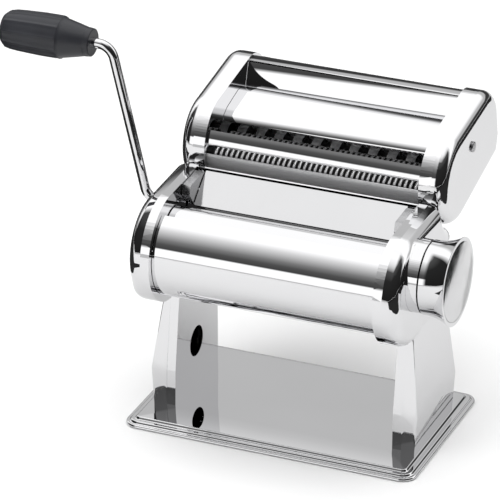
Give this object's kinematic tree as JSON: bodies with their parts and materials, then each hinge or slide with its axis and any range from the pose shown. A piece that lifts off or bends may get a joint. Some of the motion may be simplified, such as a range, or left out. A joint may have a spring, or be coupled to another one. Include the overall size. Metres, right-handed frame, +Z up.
{
  "type": "pasta roller machine",
  "caption": "Crank-driven dough sheeter on two legs over a flat base, with a gap dial on one end and a lift-off double cutting head behind the rollers.",
  "frame": {"origin": "centre of the base's resting face", "axes": "+X along the rollers towards the gap dial, +Y towards the cutting head, +Z up"},
  "size_m": [0.3255, 0.1903, 0.2497],
  "materials": {
    "cover_chrome": "mirror polished sheet",
    "base_chrome": "mirror polished sheet",
    "tray_chrome": "mirror polished sheet",
    "frame_steel": "satin plated sheet",
    "roller_steel": "polished and plated",
    "cutter_steel": "polished and plated",
    "gear_steel": "plain machined",
    "hardware_steel": "zinc plated",
    "bearing_bronze": "sintered",
    "dial_chrome": "mirror polished",
    "crank_chrome": "mirror polished",
    "grip_plastic": "satin moulded",
    "guide_plastic": "moulded",
    "pad_rubber": "matt sheet"
  },
  "bodies": {
    "machine_frame": {"base_plate": "base_chrome", "anti_slip_pad": "pad_rubber", "base_screws": "hardware_steel", "left_side_frame": "frame_steel", "right_side_frame": "frame_steel", "left_side_cover": "cover_chrome", "right_side_cover": "cover_chrome", "crank_escutcheon": "dial_chrome", "front_guard": "cover_chrome", "rear_cover": "cover_chrome", "feed_tray": "tray_chrome", "nip_guides": "frame_steel", "front_scraper": "hardware_steel", "rear_scraper": "hardware_steel", "tie_rods": "hardware_steel", "tie_rod_nuts": "hardware_steel", "rear_roller_bushes": "bearing_bronze", "dial_collar": "dial_chrome", "head_brackets": "frame_steel", "head_pins": "hardware_steel"},
    "front_bearings": {"front_bearing_blocks": "bearing_bronze"},
    "front_roller_set": {"front_roller": "roller_steel", "front_roller_gear": "gear_steel"},
    "rear_roller_set": {"rear_roller": "roller_steel", "rear_roller_gear": "gear_steel"},
    "dial_axle": {"dial_shaft": "hardware_steel", "dial_spring": "hardware_steel"},
    "dial_grip": {"dial_knob": "dial_chrome", "dial_cap": "dial_chrome", "dial_index_pin": "hardware_steel"},
    "crank": {"crank_rod": "crank_chrome", "crank_cross_pin": "hardware_steel", "crank_washer": "hardware_steel"},
    "crank_handle": {"crank_grip": "grip_plastic", "crank_grip_cap": "grip_plastic"},
    "cutting_head": {"cutter_left_frame": "frame_steel", "cutter_right_frame": "frame_steel", "cutter_left_cover": "cover_chrome", "cutter_right_cover": "cover_chrome", "cutter_cover_screws": "hardware_steel", "cutter_tie_rods": "hardware_steel", "cutter_rear_guide": "cover_chrome", "cutter_rear_shell": "cover_chrome", "cutter_middle_guard": "cover_chrome", "cutter_front_guard": "cover_chrome", "cutter_lower_plate": "cover_chrome", "wide_comb": "guide_plastic", "fine_comb": "guide_plastic", "head_sockets": "frame_steel"},
    "fine_front_set": {"fine_front_cutter": "cutter_steel", "fine_front_cutter_gear": "gear_steel"},
    "fine_rear_set": {"fine_rear_cutter": "cutter_steel", "fine_rear_cutter_gear": "gear_steel"},
    "wide_front_set": {"wide_front_cutter": "cutter_steel", "wide_front_cutter_gear": "gear_steel"},
    "wide_rear_set": {"wide_rear_cutter": "cutter_steel", "wide_rear_cutter_gear": "gear_steel"}
  },
  "joints": [
    {"name": "roller_turn", "type": "hinge", "parent": "machine_frame", "child": "rear_roller_set", "pos_m": [0, 0.002, 0.132], "axis": [1, 0, 0], "continuous": true},
    {"name": "gap_slide", "type": "slide", "parent": "machine_frame", "child": "front_bearings", "axis": [0, 1, 0], "range_m": [0, 0.0026]},
    {"name": "front_roller_turn", "type": "hinge", "parent": "front_bearings", "child": "front_roller_set", "pos_m": [0, -0.033, 0.132], "axis": [1, 0, 0], "continuous": true},
    {"name": "dial_turn", "type": "hinge", "parent": "machine_frame", "child": "dial_axle", "pos_m": [0.1, -0.033, 0.132], "axis": [1, 0, 0], "range_deg": [0, 270]},
    {"name": "dial_pull", "type": "slide", "parent": "dial_axle", "child": "dial_grip", "axis": [1, 0, 0], "range_m": [0, 0.004], "stiffness_N_per_m": 800, "deforming": ["dial_spring"]},
    {"name": "crank_pull", "type": "slide", "parent": "rear_roller_set", "child": "crank", "axis": [-1, 0, 0], "range_m": [0, 0.03]},
    {"name": "handle_spin", "type": "hinge", "parent": "crank", "child": "crank_handle", "pos_m": [-0.175, 0.002, 0.2355], "axis": [1, 0, 0], "continuous": true},
    {"name": "head_lift", "type": "slide", "parent": "machine_frame", "child": "cutting_head", "axis": [0, 0, 1], "range_m": [0, 0.03]},
    {"name": "fine_drive_turn", "type": "hinge", "parent": "cutting_head", "child": "fine_rear_set", "pos_m": [0, 0.04402, 0.16032], "axis": [1, 0, 0], "continuous": true},
    {"name": "fine_front_turn", "type": "hinge", "parent": "cutting_head", "child": "fine_front_set", "pos_m": [0, 0.02837, 0.15699], "axis": [1, 0, 0], "continuous": true},
    {"name": "wide_drive_turn", "type": "hinge", "parent": "cutting_head", "child": "wide_front_set", "pos_m": [0, 0.06427, 0.15644], "axis": [1, 0, 0], "continuous": true},
    {"name": "wide_rear_turn", "type": "hinge", "parent": "cutting_head", "child": "wide_rear_set", "pos_m": [0, 0.07992, 0.15977], "axis": [1, 0, 0], "continuous": true}
  ],
  "couplings": [
    {"joint": "front_roller_turn", "follows": "roller_turn", "ratio": -1},
    {"joint": "gap_slide", "follows": "dial_turn", "m_per_rad": 0.00055174},
    {"joint": "fine_front_turn", "follows": "fine_drive_turn", "ratio": -1},
    {"joint": "wide_rear_turn", "follows": "wide_drive_turn", "ratio": -1}
  ]
}
